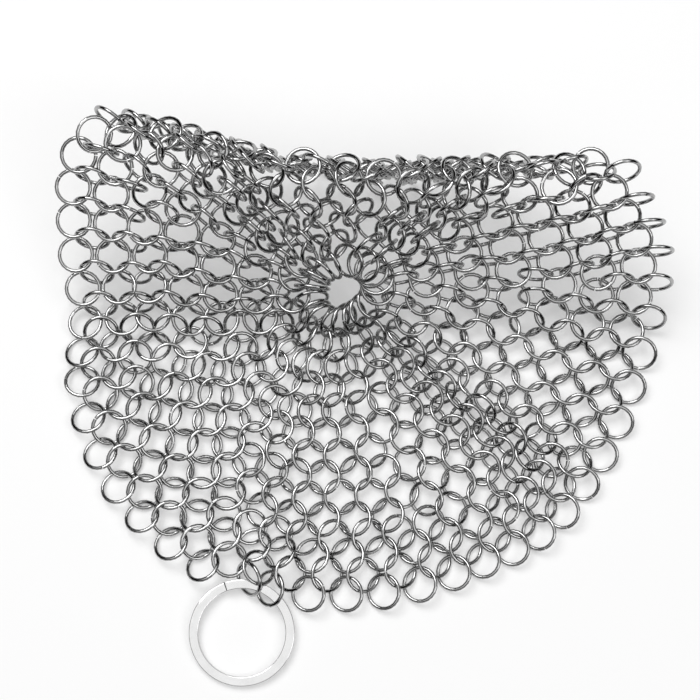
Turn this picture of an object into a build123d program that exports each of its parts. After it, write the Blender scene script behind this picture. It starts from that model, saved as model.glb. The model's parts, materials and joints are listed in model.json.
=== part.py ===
from build123d import *
import math
import os

import numpy as np

# Pot scrubber: a round of butted wire rings with a flat split ring on its edge.
# Millimetres. X is to the right, Y points away over the raised half, Z is up and
# the floor is Z = 0. The hole in the middle of the mail is the origin while the
# rings are laid out, and at the end they move so the box is centred on the origin.

# The mail: its wire rings, how far linked rings lie apart, and the edge of the sheet
WIRE = 1.05
RING_OUTSIDE = 10.0
WIRE_GAP = 0.15
LINK_SPAN = 7.2
LINK_LEAST = 5.4
LINK_MOST = 7.45
SLACK_SPAN = 6.2
EDGE_RADIUS = 84.5
EDGE_SWAY = -0.5
EDGE_DENT = 16.0
DENT_ANGLE = math.radians(184)
DENT_WIDTH = math.radians(32)
HOLE_RADIUS = 9.6

# Rings in a round, and how many rounds have that many, from the edge inwards
ROWS = 53
ZONES = ((ROWS, 4), (44, 3), (35, 3), (26, 2), (17, 2))

# Edge rings by their place in half rows, from the left over the front: those that
# carry the split ring, those that move alone and those with their links drawn in
KEY_LINK_ROWS = (20, 22)
LOOSE_ROWS = (2, 42, 52, 62, 84, 88, 92, 96)
SLACK_ROWS = (0, 6, 26, 42, 66, 70, 90, 94)

# Drape: the far half climbs to a ridge and hangs down behind it, with soft ripples
RIDGE_HEIGHT = 41.0
RIDGE_MIDDLE = 21.0
RIDGE_LEFT = 43.0
RIDGE_RIGHT = 22.0
RIDGE_BAND = 2.0
RIDGE_FOOT = 10.0
RIDGE_BEND = 1.3
CLIMB_BEND = 1.25
CREST_BEND = 1.6
BACK_DROP = 16.0
BACK_RUN = 6.0
RIPPLE = 1.2
RIPPLE_LENGTH = 13.0

# Pleats, where rows crowd together: their half rows, widths and depths, and how
# strongly each round takes part in them, from the edge inwards
PLEAT_ROWS = (1, 19, 40, 54, 70, 88)
PLEAT_WIDTHS = (3, 4, 5, 3, 5, 5)
PLEAT_DEPTH_SHARES = (0.35, 0.4, 0.9, 0.35, 0.65, 0.65)
PLEAT_ROUND_SHARES = (0.1, 0.3, 0.6, 0.8)

# Lean of the rings against the sheet: lying flat, more of it on the steep wall,
# in closed rows and for the rings that carry the split ring, and its scatter
OPEN_LEAN = math.radians(19)
WALL_LEAN = math.radians(22)
WALL_SLOPE = math.radians(45)
KEY_LINK_LEAN = 0.6
CLOSED_SHARE = 0.27
LEAN_WOBBLE_SHARE = 0.07
SEED = 3

# Split ring: two coils of one flat strip, joined by a ramp; its angles in degrees
KEY_OUTSIDE = 28.0
KEY_BAND = 2.45
KEY_WIRE = 0.95
KEY_SLIT = 0.1
KEY_RAMP = 36.0
KEY_END = 1.5
KEY_TURN = 130.0
RAMP_STEPS = 6

# Sizes that follow
RING_RADIUS = (RING_OUTSIDE - WIRE) / 2
REACH = WIRE + WIRE_GAP
TINY = WIRE / 1000
KEY_RADIUS = (KEY_OUTSIDE - KEY_BAND) / 2
KEY_STACK = 2 * KEY_WIRE + KEY_SLIT
KEY_REACH = math.hypot(KEY_BAND, KEY_STACK) / 2
KEY_LIE = 1.5 * WIRE

# How finely the rings are laid out, and how they settle
ROW_SAMPLES = 1200
BACK_SAMPLES = 181
EVEN_SHARES = np.array([1.0, 0.55])
EVEN_WEIGHT_SHARES = np.array([0.7, 0.3])
LENGTH_TURNS = 500
LENGTH_SHARE = 1.4
SETTLE_TURNS = 260
SORT_TURNS = 12
RING_SAMPLES = 24
LINK_SAMPLES = 60
GOLDEN_SHARE = 0.618
MOVE_SHARE = 0.35
SPIN_SHARE = 0.6
HOME_SHARE = 0.02
HOME_TURNS_SHARE = 2 / 3


def ridge_y(x):
    """Y of the ridge above a place along X."""
    side = np.where(x < 0, RIDGE_LEFT, RIDGE_RIGHT)
    share = np.clip(np.abs(x) / EDGE_RADIUS, 0, 1)
    return RIDGE_MIDDLE + (side - RIDGE_MIDDLE) * share**RIDGE_BEND


def height(x, y):
    """Height of the draped sheet above its lie on the floor."""
    top = ridge_y(x)
    climb = np.clip((y + RIDGE_FOOT) / (top + RIDGE_FOOT), 0, 1)
    rise = RIDGE_HEIGHT * climb**CLIMB_BEND * (1 - (1 - climb) ** CREST_BEND * climb)
    past = np.clip((y - top - RIDGE_BAND) / BACK_RUN, 0, None)
    fall = BACK_DROP * np.where(past < 1, past * past, 2 * past - 1)
    return rise - fall


def edge_radius(angle):
    """Length of a row that leaves the centre at an angle in plan."""
    turn = (np.asarray(angle) - DENT_ANGLE + math.pi) % (2 * math.pi) - math.pi
    dent = EDGE_DENT * np.exp(-((turn / DENT_WIDTH) ** 2))
    return EDGE_RADIUS + EDGE_SWAY * np.sin(angle) - dent


def row_point(angle, distance):
    """Point in plan where a row has run the given length over the sheet."""
    run = np.linspace(0, EDGE_RADIUS + RING_OUTSIDE, ROW_SAMPLES)
    z = height(run * math.cos(angle), run * math.sin(angle))
    length = np.concatenate([[0], np.cumsum(np.hypot(np.diff(run), np.diff(z)))])
    plan = np.interp(distance * edge_radius(angle) / EDGE_RADIUS, length, run)
    return np.stack([plan * math.cos(angle), plan * math.sin(angle)], -1)


def lift(p):
    """Places in plan raised onto the sheet."""
    return np.stack([p[..., 0], p[..., 1], height(p[..., 0], p[..., 1])], -1)


def back_angles():
    """Row directions over the far half, evenly spaced along the edge of the sheet."""
    angles = np.linspace(0, math.pi, BACK_SAMPLES)
    edges = np.array([lift(row_point(a, EVEN_SHARES * EDGE_RADIUS)) for a in angles])
    steps = np.linalg.norm(np.diff(edges, axis=0), axis=2) @ EVEN_WEIGHT_SHARES
    length = np.concatenate([[0], np.cumsum(steps)])
    return np.interp(np.linspace(0, length[-1], ROWS * 2 + 1), length, angles)


def plan_angle(row):
    """Direction in plan of a place between two rows, from +X."""
    if row <= ROWS:
        return math.pi * (1 + row / ROWS)
    return float(np.interp(row - ROWS, np.arange(2 * ROWS + 1) / 2, BACK_ANGLES))


def crowded_rows(radius, share, rows):
    """Where each row lies on a round, in rows: pleats crowd some of them together."""
    middle = np.arange(2 * ROWS) + 0.5
    weight = np.ones(2 * ROWS)
    for row, width, depth in zip(PLEAT_ROWS, PLEAT_WIDTHS, PLEAT_DEPTH_SHARES):
        away = (middle - row + ROWS) % (2 * ROWS) - ROWS
        weight = weight * (1 - share * depth * np.exp(-((away / width) ** 2)))
    tight = REACH * rows / ROWS
    place = []
    for half in (weight[:ROWS], weight[ROWS:]):
        spare = math.pi * radius - ROWS * tight
        gaps = tight + max(spare, 0) * half / half.sum()
        gaps = gaps * ROWS / gaps.sum()
        place.append(np.cumsum(gaps) - gaps)
    return np.concatenate([place[0], place[1] + ROWS])


def unit(v):
    """Vectors brought to length one."""
    return v / np.linalg.norm(v, axis=-1, keepdims=True)


BACK_ANGLES = back_angles()


def round_counts():
    """How many rings each round has, from the edge inwards."""
    return [count for count, rounds in ZONES for k in range(rounds)]


def round_radii():
    """Radius of each round: linked rings keep their span as the rows close up."""
    radii = [EDGE_RADIUS]
    for count in round_counts()[1:]:
        beside = math.pi * radii[-1] / count
        radii.append(radii[-1] - math.sqrt(max(LINK_SPAN**2 - beside**2, REACH**2)))
    shares = (EDGE_RADIUS - np.array(radii)) / (EDGE_RADIUS - radii[-1])
    return EDGE_RADIUS - (EDGE_RADIUS - HOLE_RADIUS) * shares


def weave():
    """Round and row place of each mail ring, its links and the pairs in line.

    A link joins a ring to one in the next round out, on its left (1) or right (-1).
    """
    counts = round_counts()
    starts = np.concatenate([[0], np.cumsum(counts)])
    places, links, in_line, beside = [], [], [], []
    shift = 0.0
    for k, count in enumerate(counts):
        if k > 0:
            shift = (shift + 0.5) % 1
        place = (np.arange(count) + shift) * 2 * ROWS / count
        for m in range(count):
            here = starts[k] + m
            beside.append((here, starts[k] + (m + 1) % count))
            if k == 0:
                continue
            left = np.searchsorted(places[-1], place[m])
            for side, other in ((1, left), (-1, left - 1)):
                links.append((here, starts[k - 1] + other % counts[k - 1], side))
            if k > 1 and counts[k - 2] == count:
                in_line.append((starts[k - 2] + m, here))
        places.append(place)
    rounds = np.repeat(np.arange(len(counts)), counts)
    return rounds, np.concatenate(places), np.array(links), np.array(in_line), np.array(beside)


def scatter(count, index, values):
    """Sum of the values that fall on each ring."""
    return np.stack([np.bincount(index, values[:, c], count) for c in range(3)], -1)


def hold_lengths(centre, one, two, shortest, longest):
    """Ease pairs of centres back between a shortest and a longest distance."""
    count = len(centre)
    share = 1 / np.maximum(np.bincount(np.concatenate([one, two]), minlength=count), 1)
    for turn in range(LENGTH_TURNS):
        gap = centre[two] - centre[one]
        length = np.linalg.norm(gap, axis=1)
        wrong = np.clip(length - longest, 0, None) + np.clip(length - shortest, None, 0)
        push = gap * (wrong / length / 2)[:, None]
        total = scatter(count, one, push) - scatter(count, two, push)
        centre = centre + LENGTH_SHARE * total * share[:, None]
    return centre


def lean_for(beside, along):
    """Lean of the rings that lets rows lie this far apart."""
    cross = np.sqrt(RING_RADIUS**2 - (along / 2) ** 2)
    closed = np.arccos(np.clip((3 * beside - REACH) / (2 * cross), CLOSED_SHARE, 1))
    return np.maximum(OPEN_LEAN, closed)


def frames(centre, links):
    """Outward and sideways directions at each ring, and half its rows' spacing."""
    count = len(centre)
    inner, outer, side = links.T
    ends = {}
    for name, here, there in (
        ("out", inner, outer),
        ("in", outer, inner),
        ("left", np.where(side > 0, inner, outer), np.where(side > 0, outer, inner)),
        ("right", np.where(side < 0, inner, outer), np.where(side < 0, outer, inner)),
    ):
        number = np.bincount(here, minlength=count)[:, None]
        total = scatter(count, here, centre[there])
        ends[name] = np.where(number > 0, total / np.maximum(number, 1), centre)
    outward = unit(ends["out"] - ends["in"])
    around = ends["left"] - ends["right"]
    around = around - outward * np.sum(around * outward, axis=1, keepdims=True)
    return outward, unit(around), np.linalg.norm(around, axis=1) / 2


def lattice():
    """Centre and normal of every mail ring, before they settle."""
    rounds, places, links, in_line, beside = weave()
    radii = round_radii()
    centre = []
    crowded = []
    for k, radius in enumerate(radii):
        share = PLEAT_ROUND_SHARES[min(k, len(PLEAT_ROUND_SHARES) - 1)]
        crowded.append(crowded_rows(radius, share, round_counts()[k]))
    for k, place in zip(rounds, places):
        row = np.interp(place, np.arange(2 * ROWS + 1), np.append(crowded[k], 2 * ROWS))
        centre.append(row_point(plan_angle(row), radii[k]))
    centre = np.array(centre)
    centre = lift(centre + RIPPLE * np.sin(centre[:, ::-1] / RIPPLE_LENGTH + [1, 0]))
    spacing = math.pi * radii / round_counts()
    along = np.sqrt(np.clip(LINK_SPAN**2 - spacing**2, 0, None))
    centre[:, 2] += (RING_RADIUS * np.sin(lean_for(spacing, along)) + WIRE / 2)[rounds]
    one = np.concatenate([in_line[:, 0], beside[:, 0], links[:, 0]])
    two = np.concatenate([in_line[:, 1], beside[:, 1], links[:, 1]])
    kinds = [len(in_line), len(beside), len(links)]
    least = RING_OUTSIDE + WIRE_GAP
    shortest = np.repeat([least, 2 * REACH, LINK_LEAST], kinds)
    longest = np.repeat([2 * LINK_MOST, least, LINK_MOST], kinds)
    slack = np.isin(links[:, 1], [row // 2 for row in SLACK_ROWS])
    longest[-len(links):][slack] = SLACK_SPAN
    centre = hold_lengths(centre, one, two, shortest, longest)
    outward, around, spacing = frames(centre, links)
    up = np.cross(outward, around)
    along = np.sqrt(np.clip(LINK_SPAN**2 - spacing**2, 0, None))
    steep = np.clip((1 - up[:, 2]) / (1 - math.cos(WALL_SLOPE)), 0, 1)
    lean = np.maximum(lean_for(spacing, along), OPEN_LEAN + WALL_LEAN * steep)
    side = np.where(rounds % 2 == 0, -1.0, 1.0)
    normal = up * np.cos(lean)[:, None] + around * (side * np.sin(lean))[:, None]
    return rounds, places, links[:, :2], centre, normal


def close_pairs(centre, radius):
    """Pairs of rings near enough to touch."""
    gap = centre[:, None, :] - centre[None, :, :]
    apart = np.sqrt(np.sum(gap * gap, axis=2))
    reach = radius[:, None] + radius[None, :] + 2 * REACH
    return np.nonzero(np.triu(apart < reach, 1))


def ring_points(centre, normal, radius, turn):
    """Points round the centre line of each ring, relative to its centre."""
    helper = np.where(np.abs(normal[:, :1]) < 0.7, [[1.0, 0, 0]], [[0, 1.0, 0]])
    first = unit(np.cross(normal, helper))
    second = np.cross(normal, first)
    spread = first[:, None, :] * np.cos(turn)[None, :, None]
    spread = spread + second[:, None, :] * np.sin(turn)[None, :, None]
    return spread * radius[:, None, None]


def gaps_between(pairs, centre, normal, radius, turn):
    """From points on the first ring of each pair to the centre line of the second."""
    one, two = pairs
    arm = ring_points(centre, normal, radius, turn)[one]
    point = arm + (centre[one] - centre[two])[:, None, :]
    facing = normal[two][:, None, :]
    rise = np.sum(point * facing, axis=2)
    flat = point - rise[..., None] * facing
    across = np.maximum(np.sqrt(np.sum(flat * flat, axis=2)), TINY)
    distance = np.hypot(across - radius[two][:, None], rise)
    return arm, flat, across, point, distance


def are_linked(pairs, centre, normal, radius):
    """Whether the two rings of each pair pass through one another."""
    turn = 2 * math.pi * np.arange(LINK_SAMPLES) / LINK_SAMPLES
    arm, flat, across, point, distance = gaps_between(pairs, centre, normal, radius, turn)
    rise = np.sum(point * normal[pairs[1]][:, None, :], axis=2)
    crosses = np.sign(rise) != np.sign(np.roll(rise, -1, axis=1))
    inside = across < radius[pairs[1]][:, None]
    return np.sum(crosses & inside, axis=1) == 1


def settle(rings, links):
    """Push touching rings apart until every pair keeps its gap.

    A pair that is linked by mistake, or should be and isn't, passes freely until
    it is put right. The split ring only slides over the floor.
    """
    centre, normal, radius, tube, free = rings
    count = len(centre)
    home = centre.copy()
    home_normal = normal.copy()
    wanted = np.zeros((count, count), bool)
    wanted[links[:, 0], links[:, 1]] = True
    wanted |= wanted.T
    for turn in range(SETTLE_TURNS):
        phase = 2 * math.pi * (np.arange(RING_SAMPLES) + GOLDEN_SHARE * turn) / RING_SAMPLES
        if turn % SORT_TURNS == 0:
            one, two = close_pairs(centre, radius)
            want = tube[one] + tube[two] + WIRE_GAP
            near = gaps_between((one, two), centre, normal, radius, phase)[-1].min(axis=1)
            wish = wanted[one, two]
            wrong = are_linked((one, two), centre, normal, radius) != wish
            sort = np.where(wish, -1.0, 1.0)
            astray = (one[wrong], two[wrong], sort[wrong])
            keep = (near < want + WIRE) & ~wrong
            pairs = one[keep], two[keep]
            want = want[keep]
        arm, flat, across, point, distance = gaps_between(pairs, centre, normal, radius, phase)
        lack = np.clip(want[:, None] - distance, 0, None)
        touching = lack.max(axis=1) > 0
        one, two = pairs[0][touching], pairs[1][touching]
        lack, distance = lack[touching], distance[touching]
        share = lack * (lack.max(axis=1) / lack.sum(axis=1))[:, None]
        other_arm = flat[touching] * (radius[two][:, None] / across[touching])[..., None]
        push = point[touching] - other_arm
        push = push * (share / np.maximum(distance, TINY))[..., None]
        total = push.sum(axis=1)
        move = scatter(count, one, total) - scatter(count, two, total)
        spin = scatter(count, one, np.cross(arm[touching], push).sum(axis=1))
        spin = spin - scatter(count, two, np.cross(other_arm, push).sum(axis=1))
        pull = HOME_SHARE * max(0, 1 - turn / (HOME_TURNS_SHARE * SETTLE_TURNS))
        move = MOVE_SHARE * move + pull * (home - centre)
        spin = SPIN_SHARE * spin / radius[:, None] ** 2 + pull * np.cross(normal, home_normal)
        one, two, sort = astray
        shift = unit(centre[one] - centre[two]) * (sort * WIRE / SORT_TURNS)[:, None]
        move = move + scatter(count, one, shift) - scatter(count, two, shift)
        centre = centre + move * free
        normal = unit(normal + np.cross(spin, normal) * free[:, 2:])
        low = centre[:, 2] - radius * np.sqrt(np.clip(1 - normal[:, 2] ** 2, 0, 1)) - tube
        centre[:, 2] = centre[:, 2] - np.minimum(low, 0) * free[:, 2]
    return centre, normal


def key_place(centre, one, two):
    """Centre and normal of the split ring, which lies in its two link rings."""
    middle = (centre[one] + centre[two])[:2] / 2
    apart = np.linalg.norm((centre[one] - centre[two])[:2])
    away = math.sqrt((KEY_RADIUS + KEY_LIE) ** 2 - (apart / 2) ** 2)
    outward = unit(middle)
    near = WIRE / 2 + KEY_REACH + WIRE / 2 + WIRE_GAP
    far = KEY_STACK / 2
    tilt = math.atan((near - far) / (2 * KEY_RADIUS))
    far = far + KEY_BAND / 2 * math.sin(tilt)
    place = middle + outward * away
    centre = np.array([place[0], place[1], (near + far) / 2])
    normal = np.array([outward[0] * math.sin(tilt), outward[1] * math.sin(tilt), math.cos(tilt)])
    return centre, normal


def scrubber():
    """Every ring of the mail, settled, with the split ring last."""
    rounds, places, links, centre, normal = lattice()
    wobble = np.random.default_rng(SEED)
    normal = unit(normal + wobble.normal(0, LEAN_WOBBLE_SHARE, normal.shape))
    link_rings = [int(row // 2) for row in KEY_LINK_ROWS]
    for ring in link_rings:
        outward = unit(centre[ring] * [1, 1, 0])
        normal[ring] = np.cross(outward, [0, 0, math.sin(KEY_LINK_LEAN)])
        normal[ring, 2] = math.cos(KEY_LINK_LEAN)
        centre[ring, 2] = RING_RADIUS * math.sin(KEY_LINK_LEAN) + WIRE / 2
    key_centre, key_normal = key_place(centre, *link_rings)
    key = len(centre)
    centre = np.vstack([centre, key_centre])
    normal = np.vstack([normal, key_normal])
    links = np.vstack([links, [[link_rings[0], key], [link_rings[1], key]]])
    radius = np.full(key + 1, RING_RADIUS)
    tube = np.full(key + 1, WIRE / 2)
    free = np.ones((key + 1, 3))
    radius[key] = KEY_RADIUS
    tube[key] = KEY_REACH
    free[key, 2] = 0
    centre, normal = settle((centre, normal, radius, tube, free), links)
    return rounds, places, links, centre, normal


def ring_solid(centre, normal):
    """One wire ring of the mail."""
    return Plane(origin=tuple(centre), z_dir=tuple(normal)) * Torus(RING_RADIUS, WIRE / 2)


def band_section(angle, low):
    """Cross-section of one coil of the split ring at an angle round it."""
    place = Pos(0, 0, low + KEY_WIRE / 2) * Rot(0, 0, angle) * Pos(KEY_RADIUS, 0, 0) * Rot(90, 0, 0)
    return place * Rectangle(KEY_BAND, KEY_WIRE)


def key_ring_solid():
    """Two flat coils, one on the other, joined by a ramp."""
    low = -KEY_STACK / 2
    high = KEY_SLIT / 2
    half = KEY_RAMP / 2
    full = 360 - KEY_RAMP
    lower = revolve(band_section(half + KEY_END, low), Axis.Z, full - KEY_END)
    upper = revolve(band_section(half, high), Axis.Z, full - KEY_END)
    steps = np.linspace(0, 1, RAMP_STEPS + 1)
    ramp = loft([band_section(half * (2 * s - 1), low + (high - low) * s) for s in steps], ruled=True)
    return lower + ramp + upper


def box_of(centre, normal):
    """Lowest and highest corner of all the rings."""
    side = np.sqrt(np.clip(1 - normal**2, 0, 1))
    reach = RING_RADIUS * side + WIRE / 2
    reach[-1] = KEY_OUTSIDE / 2 * side[-1] + KEY_STACK / 2 * np.abs(normal[-1])
    return (centre - reach).min(axis=0), (centre + reach).max(axis=0)


def pieces():
    """Every node of the scrubber: its rings by number, and where they lie."""
    rounds, places, links, centre, normal = scrubber()
    low, high = box_of(centre, normal)
    centre = centre - [(low[0] + high[0]) / 2, (low[1] + high[1]) / 2, low[2]]
    nodes = {}
    picked = []
    for kind, rows in (("link_ring", KEY_LINK_ROWS), ("loose_ring", LOOSE_ROWS)):
        for number, row in enumerate(rows):
            picked.append(row // 2)
            nodes[f"{kind}_{number + 1}"] = [row // 2]
    for k in range(rounds[-1] + 1):
        for half, here in (("front", places <= ROWS), ("back", places > ROWS)):
            rings = np.flatnonzero((rounds == k) & here)
            nodes[f"round_{k + 1}_{half}"] = [int(ring) for ring in rings if ring not in picked]
    nodes["key_ring"] = [len(centre) - 1]
    return nodes, centre, normal, links


def build():
    """Writes one file for each node."""
    nodes, centre, normal, links = pieces()
    os.makedirs("parts", exist_ok=True)
    for name, rings in nodes.items():
        if name == "key_ring":
            right = (normal[-1][2], 0, -normal[-1][0])
            lie = Plane(origin=tuple(centre[-1]), x_dir=right, z_dir=tuple(normal[-1]))
            shape = lie * Rot(0, 0, KEY_TURN) * key_ring_solid()
        else:
            shape = Compound([ring_solid(centre[ring], normal[ring]) for ring in rings])
        export_step(shape, f"parts/{name}.step")


if __name__ == "__main__":
    build()
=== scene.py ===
import json
import math

import bpy
import numpy as np
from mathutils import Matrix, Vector

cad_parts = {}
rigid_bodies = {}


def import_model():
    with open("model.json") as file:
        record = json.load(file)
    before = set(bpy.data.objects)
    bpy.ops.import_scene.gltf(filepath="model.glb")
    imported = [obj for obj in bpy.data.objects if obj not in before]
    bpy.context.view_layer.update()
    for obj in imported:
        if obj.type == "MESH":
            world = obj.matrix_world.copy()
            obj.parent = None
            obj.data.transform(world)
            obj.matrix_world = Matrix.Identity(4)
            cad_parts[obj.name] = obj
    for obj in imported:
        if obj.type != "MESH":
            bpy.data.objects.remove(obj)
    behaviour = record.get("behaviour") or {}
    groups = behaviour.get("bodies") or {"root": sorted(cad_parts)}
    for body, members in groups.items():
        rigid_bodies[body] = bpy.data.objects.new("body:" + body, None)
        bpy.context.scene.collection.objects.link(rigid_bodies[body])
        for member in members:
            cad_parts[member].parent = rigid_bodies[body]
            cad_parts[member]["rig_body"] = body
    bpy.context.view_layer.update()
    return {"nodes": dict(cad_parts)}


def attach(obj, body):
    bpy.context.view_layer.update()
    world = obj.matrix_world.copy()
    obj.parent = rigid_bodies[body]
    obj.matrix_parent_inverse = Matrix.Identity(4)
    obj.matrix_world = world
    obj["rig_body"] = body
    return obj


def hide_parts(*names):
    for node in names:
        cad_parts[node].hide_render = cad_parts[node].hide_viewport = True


# Pot scrubber: linked wire rings and a flat split ring, on a pale floor. Metres.
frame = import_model()

# Wire rings, butted: the ends stand a little apart and one a little above the other
RING_RADIUS = 0.004475
WIRE_RADIUS = 0.000525
SEAM_GAP = 0.00022
SEAM_STEP = 0.00006
SEAM_BEND = 3.0
RING_STEPS = 22
WIRE_SIDES = 8
SEED = 11

# Split ring, as in its solid
KEY_RADIUS = 0.012775
KEY_BAND = 0.00245
KEY_WIRE = 0.00095
KEY_SLIT = 0.0001
KEY_TURN = math.radians(130)
KEY_RAMP = math.radians(36)
KEY_END = math.radians(1.5)
KEY_ROUND = 0.00022
KEY_STEPS = 240
CORNER_STEPS = 4

# Steel: colour, size of the fine scratches and range of the roughness
WIRE_STEEL = ("polished_wire", 0.41, 5200.0, (0.05, 0.12))
KEY_STEEL = ("nickel_split_ring", 0.78, 3000.0, (0.08, 0.16))

# Smudges and scratches in the steel, and how far they and a ring's own tone change it
SMUDGE_SCALE = 260.0
SMUDGE_DETAIL = 4.0
SMUDGE_ROUGHNESS = 0.6
SCRATCH_DETAIL = 6.0
SCRATCH_ROUGHNESS = 0.7
SCRATCH_SPREAD = (0.3, 0.7)
SCRATCH_STRENGTH = 0.12
SCRATCH_DEPTH = 0.00002
TONE_STOPS = (0.2, 0.8)
TONE_RANGE = (0.86, 1.1)

# Floor: matt white paper, with a share of glow that keeps its shadows light
FLOOR_HALF = 2.5
FLOOR_TONE = 0.97
FLOOR_GLOW_SHARE = 0.3
FLOOR_ROUGHNESS = 0.7
FLOOR_SHINE = 0.2

# Studio: a bright ceiling over dark walls, by height and tone, and two soft boxes,
# by name, place, size and watts
SKY = ((0.0, 0.005), (0.56, 0.01), (0.74, 0.6), (0.92, 1.2))
SOFT_BOXES = (
    ("soft_box", (-0.35, 0.55, 1.1), 0.7, 8.2),
    ("fill_box", (0.6, -0.35, 0.8), 0.4, 1.4),
)

# Camera of the photograph: its aim on the floor, its height and its lens
CAMERA_AIM = Vector((-0.00405, 0.01575, 0))
CAMERA_ELEVATION = math.radians(80)
CAMERA_DISTANCE = 0.5
CAMERA_LENS = 94.4
CAMERA_SENSOR = 36.0


def ring_places(node):
    """Centre and facing of each ring of a node, from its solids' meshes."""
    mesh = node.data
    co = np.empty(len(mesh.vertices) * 3)
    mesh.vertices.foreach_get("co", co)
    co = co.reshape(-1, 3)
    points, same = np.unique(np.round(co, 7), axis=0, return_inverse=True)
    same = same.reshape(-1)
    edges = np.empty(len(mesh.edges) * 2, int)
    mesh.edges.foreach_get("vertices", edges)
    one, two = same[edges.reshape(-1, 2)].T
    label = np.arange(len(points))
    while True:
        least = label.copy()
        np.minimum.at(least, one, label[two])
        np.minimum.at(least, two, label[one])
        least = least[least]
        if np.array_equal(least, label):
            break
        label = least
    places = []
    for name in np.unique(label):
        island = points[label == name]
        centre = (island.min(axis=0) + island.max(axis=0)) / 2
        facing = np.linalg.svd(island - island.mean(axis=0), full_matrices=False)[2][2]
        if facing[2] < 0:
            facing = -facing
        places.append((centre, facing))
    return places


class Tree:
    """A node tree under construction."""

    def __init__(self, tree):
        self.tree = tree

    def node(self, kind, values=(), **settings):
        """A new node, with its sockets set or linked to other nodes' outputs."""
        made = self.tree.nodes.new(kind)
        for name, value in settings.items():
            setattr(made, name, value)
        for socket, value in dict(values).items():
            if isinstance(value, bpy.types.NodeSocket):
                self.tree.links.new(value, made.inputs[socket])
            else:
                made.inputs[socket].default_value = value
        return made

    def maths(self, operation, one, two):
        """The result of a sum of two numbers or outputs."""
        return self.node("ShaderNodeMath", {0: one, 1: two}, operation=operation).outputs[0]


def ring_tree(material):
    """Butted wire rings on points that carry their facing: named sizes in, one mesh out."""
    group = bpy.data.node_groups.new("butted_rings", "GeometryNodeTree")
    face = group.interface
    face.new_socket("Points", in_out="INPUT", socket_type="NodeSocketGeometry")
    for name, kind, value in (
        ("Ring radius", "NodeSocketFloat", RING_RADIUS),
        ("Wire radius", "NodeSocketFloat", WIRE_RADIUS),
        ("Seam gap", "NodeSocketFloat", SEAM_GAP),
        ("Seam step", "NodeSocketFloat", SEAM_STEP),
        ("Ring steps", "NodeSocketInt", RING_STEPS),
        ("Wire sides", "NodeSocketInt", WIRE_SIDES),
        ("Seed", "NodeSocketInt", SEED),
    ):
        face.new_socket(name, in_out="INPUT", socket_type=kind).default_value = value
    face.new_socket("Rings", in_out="OUTPUT", socket_type="NodeSocketGeometry")
    t = Tree(group)
    sizes = t.node("NodeGroupInput").outputs

    # An arc that stops short of the full turn by the seam
    gap = t.maths("DIVIDE", sizes["Seam gap"], sizes["Ring radius"])
    sweep = t.maths("SUBTRACT", 2 * math.pi, gap)
    arc = t.node(
        "GeometryNodeCurveArc",
        {
            "Resolution": sizes["Ring steps"],
            "Radius": sizes["Ring radius"],
            "Start Angle": 0.0,
            "Sweep Angle": sweep,
        },
        mode="RADIUS",
    )

    # Its ends rise and sink by half the step each, and its middle stays flat
    along = t.node("GeometryNodeSplineParameter")
    share = t.maths("MULTIPLY", t.maths("SUBTRACT", along.outputs["Factor"], 0.5), 2.0)
    end = t.maths("POWER", share, SEAM_BEND)
    rise = t.maths("MULTIPLY", t.maths("MULTIPLY", end, sizes["Seam step"]), 0.5)
    offset = t.node("ShaderNodeCombineXYZ", {"Z": rise})
    bent = t.node(
        "GeometryNodeSetPosition", {"Geometry": arc.outputs["Curve"], "Offset": offset.outputs[0]}
    )
    section = t.node(
        "GeometryNodeCurvePrimitiveCircle",
        {"Resolution": sizes["Wire sides"], "Radius": sizes["Wire radius"]},
        mode="RADIUS",
    )
    wire = t.node(
        "GeometryNodeCurveToMesh",
        {"Curve": bent.outputs["Geometry"], "Profile Curve": section.outputs["Curve"], "Fill Caps": True},
    )
    smooth = t.node("GeometryNodeSetShadeSmooth", {"Geometry": wire.outputs["Mesh"], "Shade Smooth": True})

    # Each ring stands as its solid does, with its seam turned at random
    facing = t.node("GeometryNodeInputNamedAttribute", {"Name": "facing"}, data_type="FLOAT_VECTOR")
    stand = t.node("FunctionNodeAlignRotationToVector", {"Vector": facing.outputs["Attribute"]}, axis="Z")
    turn = t.node(
        "FunctionNodeRandomValue", {"Min": 0.0, "Max": 2 * math.pi, "Seed": sizes["Seed"]}, data_type="FLOAT"
    )
    spin = t.node("FunctionNodeAxisAngleToRotation", {"Axis": (0, 0, 1), "Angle": turn.outputs[1]})
    turned = t.node(
        "FunctionNodeRotateRotation",
        {"Rotation": stand.outputs[0], "Rotate By": spin.outputs[0]},
        rotation_space="LOCAL",
    )
    placed = t.node(
        "GeometryNodeInstanceOnPoints",
        {"Points": sizes["Points"], "Instance": smooth.outputs["Geometry"], "Rotation": turned.outputs[0]},
    )
    tone = t.node(
        "FunctionNodeRandomValue", {"Min": 0.0, "Max": 1.0, "Seed": sizes["Seed"]}, data_type="FLOAT"
    )
    toned = t.node(
        "GeometryNodeStoreNamedAttribute",
        {"Geometry": placed.outputs["Instances"], "Name": "tone", "Value": tone.outputs[1]},
        data_type="FLOAT",
        domain="INSTANCE",
    )
    real = t.node("GeometryNodeRealizeInstances", {"Geometry": toned.outputs["Geometry"]})
    dressed = t.node("GeometryNodeSetMaterial", {"Geometry": real.outputs["Geometry"], "Material": material})
    t.node("NodeGroupOutput", {"Rings": dressed.outputs["Geometry"]})
    return group


def link_object(name, data):
    """A new object in the scene."""
    made = bpy.data.objects.new(name, data)
    bpy.context.scene.collection.objects.link(made)
    return made


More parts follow.
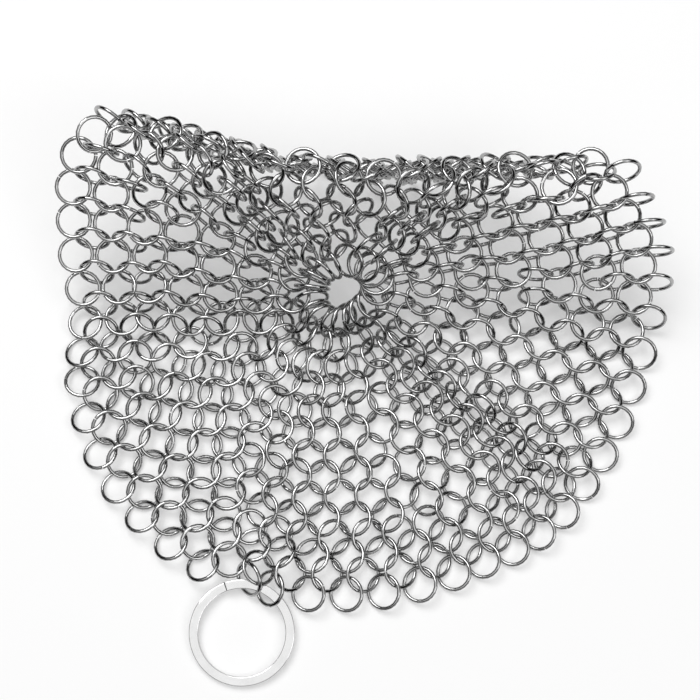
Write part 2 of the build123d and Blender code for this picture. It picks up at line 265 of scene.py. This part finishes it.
def rings_piece(name, places, tree, material, seed):
    """One mesh of all the wire rings of a body."""
    mesh = bpy.data.meshes.new(name + "_places")
    mesh.from_pydata([tuple(centre) for centre, facing in places], [], [])
    facing = mesh.attributes.new("facing", "FLOAT_VECTOR", "POINT")
    facing.data.foreach_set("vector", np.array([f for c, f in places], np.float32).ravel())
    points = link_object(name + "_places", mesh)
    modifier = points.modifiers.new("rings", "NODES")
    modifier.node_group = tree
    for item in tree.interface.items_tree:
        if item.item_type == "SOCKET" and item.in_out == "INPUT" and item.name == "Seed":
            modifier[item.identifier] = seed
    bpy.context.view_layer.update()
    ready = points.evaluated_get(bpy.context.evaluated_depsgraph_get())
    made = bpy.data.meshes.new_from_object(ready)
    made.name = name
    bpy.data.objects.remove(points)
    made.materials.clear()
    made.materials.append(material)
    return link_object(name, made)


def steel(name, colour, grain, rough):
    """Polished steel with fine scratches, smudges and a tone of its own for each ring."""
    material = bpy.data.materials.new(name)
    material.use_nodes = True
    t = Tree(material.node_tree)
    shader = material.node_tree.nodes["Principled BSDF"]
    shader.inputs["Metallic"].default_value = 1.0
    place = t.node("ShaderNodeTexCoord").outputs["Object"]
    tone = t.node("ShaderNodeAttribute", attribute_name="tone").outputs["Fac"]
    smudge = t.node(
        "ShaderNodeTexNoise",
        {"Vector": place, "Scale": SMUDGE_SCALE, "Detail": SMUDGE_DETAIL, "Roughness": SMUDGE_ROUGHNESS},
    ).outputs["Fac"]
    fine = t.node(
        "ShaderNodeTexNoise",
        {"Vector": place, "Scale": grain, "Detail": SCRATCH_DETAIL, "Roughness": SCRATCH_ROUGHNESS},
    ).outputs["Fac"]
    mixed = t.maths("MULTIPLY", t.maths("ADD", tone, smudge), 0.5)
    ramp = t.node("ShaderNodeValToRGB", {"Fac": mixed})
    for stop, position, share in zip(ramp.color_ramp.elements, TONE_STOPS, TONE_RANGE):
        stop.position = position
        shade = min(1, colour * share)
        stop.color = (shade, shade, shade, 1)
    thin, thick = SCRATCH_SPREAD
    roughness = t.node(
        "ShaderNodeMapRange",
        {"Value": fine, "From Min": thin, "From Max": thick, "To Min": rough[0], "To Max": rough[1]},
    )
    bump = t.node(
        "ShaderNodeBump", {"Height": fine, "Strength": SCRATCH_STRENGTH, "Distance": SCRATCH_DEPTH}
    )
    t.tree.links.new(ramp.outputs["Color"], shader.inputs["Base Color"])
    t.tree.links.new(roughness.outputs["Result"], shader.inputs["Roughness"])
    t.tree.links.new(bump.outputs["Normal"], shader.inputs["Normal"])
    return material


def band_outline():
    """Cross-section of the flat strip with rounded corners: across the band, and up."""
    outline = []
    for side, rise, start in ((1, 1, 0), (-1, 1, 90), (-1, -1, 180), (1, -1, 270)):
        for step in range(CORNER_STEPS):
            angle = math.radians(start + 90 * step / (CORNER_STEPS - 1))
            across = side * (KEY_BAND / 2 - KEY_ROUND) + KEY_ROUND * math.cos(angle)
            up = rise * (KEY_WIRE / 2 - KEY_ROUND) + KEY_ROUND * math.sin(angle)
            outline.append((across, up))
    return outline


def key_ring_piece(node, material):
    """The split ring: one flat strip wound two turns, with a ramp between its coils."""
    centre, up = ring_places(node)[0]
    right = np.array([1.0, 0, 0]) - up[0] * up
    right = right / np.linalg.norm(right)
    away = np.cross(up, right)
    first = KEY_TURN + KEY_RAMP / 2 + KEY_END
    last = KEY_TURN - KEY_RAMP / 2 + 4 * math.pi - KEY_END
    jump = KEY_TURN + 2 * math.pi
    climb = KEY_WIRE + KEY_SLIT
    outline = band_outline()
    count = len(outline)
    verts = []
    faces = []
    for angle in np.linspace(first, last, KEY_STEPS):
        share = min(max((angle - jump) / KEY_RAMP + 0.5, 0), 1)
        height = climb * (share * share * (3 - 2 * share) - 0.5)
        out = right * math.cos(angle) + away * math.sin(angle)
        for across, rise in outline:
            verts.append(tuple(centre + out * (KEY_RADIUS + across) + up * (height + rise)))
    for k in range(0, (KEY_STEPS - 1) * count, count):
        for i in range(count):
            j = (i + 1) % count
            faces.append((k + i, k + j, k + count + j, k + count + i))
    faces.append(tuple(range(count)))
    faces.append(tuple(reversed(range((KEY_STEPS - 1) * count, KEY_STEPS * count))))
    mesh = bpy.data.meshes.new("key_ring_coils")
    mesh.from_pydata(verts, [], faces)
    mesh.polygons.foreach_set("use_smooth", [len(face) == 4 for face in faces])
    mesh.materials.append(material)
    mesh.validate()
    return link_object("key_ring_coils", mesh)


def floor_paper():
    """Matt white paper. Its glow is seen and mirrored, and lights nothing."""
    material = bpy.data.materials.new("pale_floor")
    material.use_nodes = True
    t = Tree(material.node_tree)
    white = (FLOOR_TONE, FLOOR_TONE, FLOOR_TONE, 1)
    shader = material.node_tree.nodes["Principled BSDF"]
    shader.inputs["Base Color"].default_value = white
    shader.inputs["Roughness"].default_value = FLOOR_ROUGHNESS
    shader.inputs["Specular IOR Level"].default_value = FLOOR_SHINE
    rays = t.node("ShaderNodeLightPath").outputs
    mirrored = t.maths("MAXIMUM", rays["Is Glossy Ray"], rays["Is Transmission Ray"])
    seen = t.maths("MAXIMUM", rays["Is Camera Ray"], mirrored)
    share = t.maths("MULTIPLY", seen, FLOOR_GLOW_SHARE)
    glow = t.node("ShaderNodeEmission", {"Color": white}).outputs["Emission"]
    lit = t.node("ShaderNodeMixShader", {0: share, 1: shader.outputs["BSDF"], 2: glow})
    t.tree.links.new(lit.outputs["Shader"], t.tree.nodes["Material Output"].inputs["Surface"])
    return material


def floor():
    """A square of paper under the scrubber."""
    corners = [(x * FLOOR_HALF, y * FLOOR_HALF, 0) for x, y in ((-1, -1), (1, -1), (1, 1), (-1, 1))]
    mesh = bpy.data.meshes.new("floor")
    mesh.from_pydata(corners, [], [(0, 1, 2, 3)])
    mesh.materials.append(floor_paper())
    return link_object("floor", mesh)


def ceiling():
    """The world: tones by height, from the dark walls up to the bright ceiling."""
    world = bpy.data.worlds.new("studio")
    world.use_nodes = True
    t = Tree(world.node_tree)
    direction = t.node("ShaderNodeTexCoord").outputs["Generated"]
    height = t.node("ShaderNodeSeparateXYZ", {"Vector": direction}).outputs["Z"]
    sky = t.node("ShaderNodeValToRGB", {"Fac": height})
    stops = sky.color_ramp.elements
    while len(stops) < len(SKY):
        stops.new(1.0)
    for stop, (position, tone) in zip(stops, SKY):
        stop.position = position
        stop.color = (tone, tone, tone, 1)
    t.tree.links.new(sky.outputs["Color"], t.tree.nodes["Background"].inputs["Color"])
    return world


def soft_box(name, place, size, power):
    """A square lamp turned towards the middle of the floor."""
    data = bpy.data.lights.new(name, "AREA")
    data.shape = "SQUARE"
    data.size = size
    data.energy = power
    lamp = link_object(name, data)
    lamp.location = place
    lamp.rotation_euler = (-Vector(place)).to_track_quat("-Z", "Y").to_euler()


def photograph_camera():
    """The camera, at the photograph's height and distance."""
    data = bpy.data.cameras.new("camera")
    data.sensor_width = CAMERA_SENSOR
    data.lens = CAMERA_LENS
    camera = link_object("camera", data)
    back = Vector((0, -math.cos(CAMERA_ELEVATION), math.sin(CAMERA_ELEVATION)))
    camera.location = CAMERA_AIM + back * CAMERA_DISTANCE
    camera.rotation_euler = (-back).to_track_quat("-Z", "Y").to_euler()
    return camera


def dress_bodies():
    """One piece for each body: the split ring, the moving rings and the rest of the mail."""
    wire_steel = steel(*WIRE_STEEL)
    key_steel = steel(*KEY_STEEL)
    rings = ring_tree(wire_steel)
    bodies = {}
    for name, node in frame["nodes"].items():
        bodies.setdefault(node["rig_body"], []).append(name)
    for number, (body, names) in enumerate(sorted(bodies.items())):
        if names == ["key_ring"]:
            piece = key_ring_piece(frame["nodes"]["key_ring"], key_steel)
        else:
            places = [place for name in sorted(names) for place in ring_places(frame["nodes"][name])]
            title = "mail_rings" if body == "mail" else body + "_wire"
            piece = rings_piece(title, places, rings, wire_steel, SEED + number)
        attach(piece, body)
        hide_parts(*names)


dress_bodies()
floor()
scene = bpy.context.scene
scene.world = ceiling()
for box in SOFT_BOXES:
    soft_box(*box)
scene.camera = photograph_camera()
scene.view_settings.view_transform = "Standard"
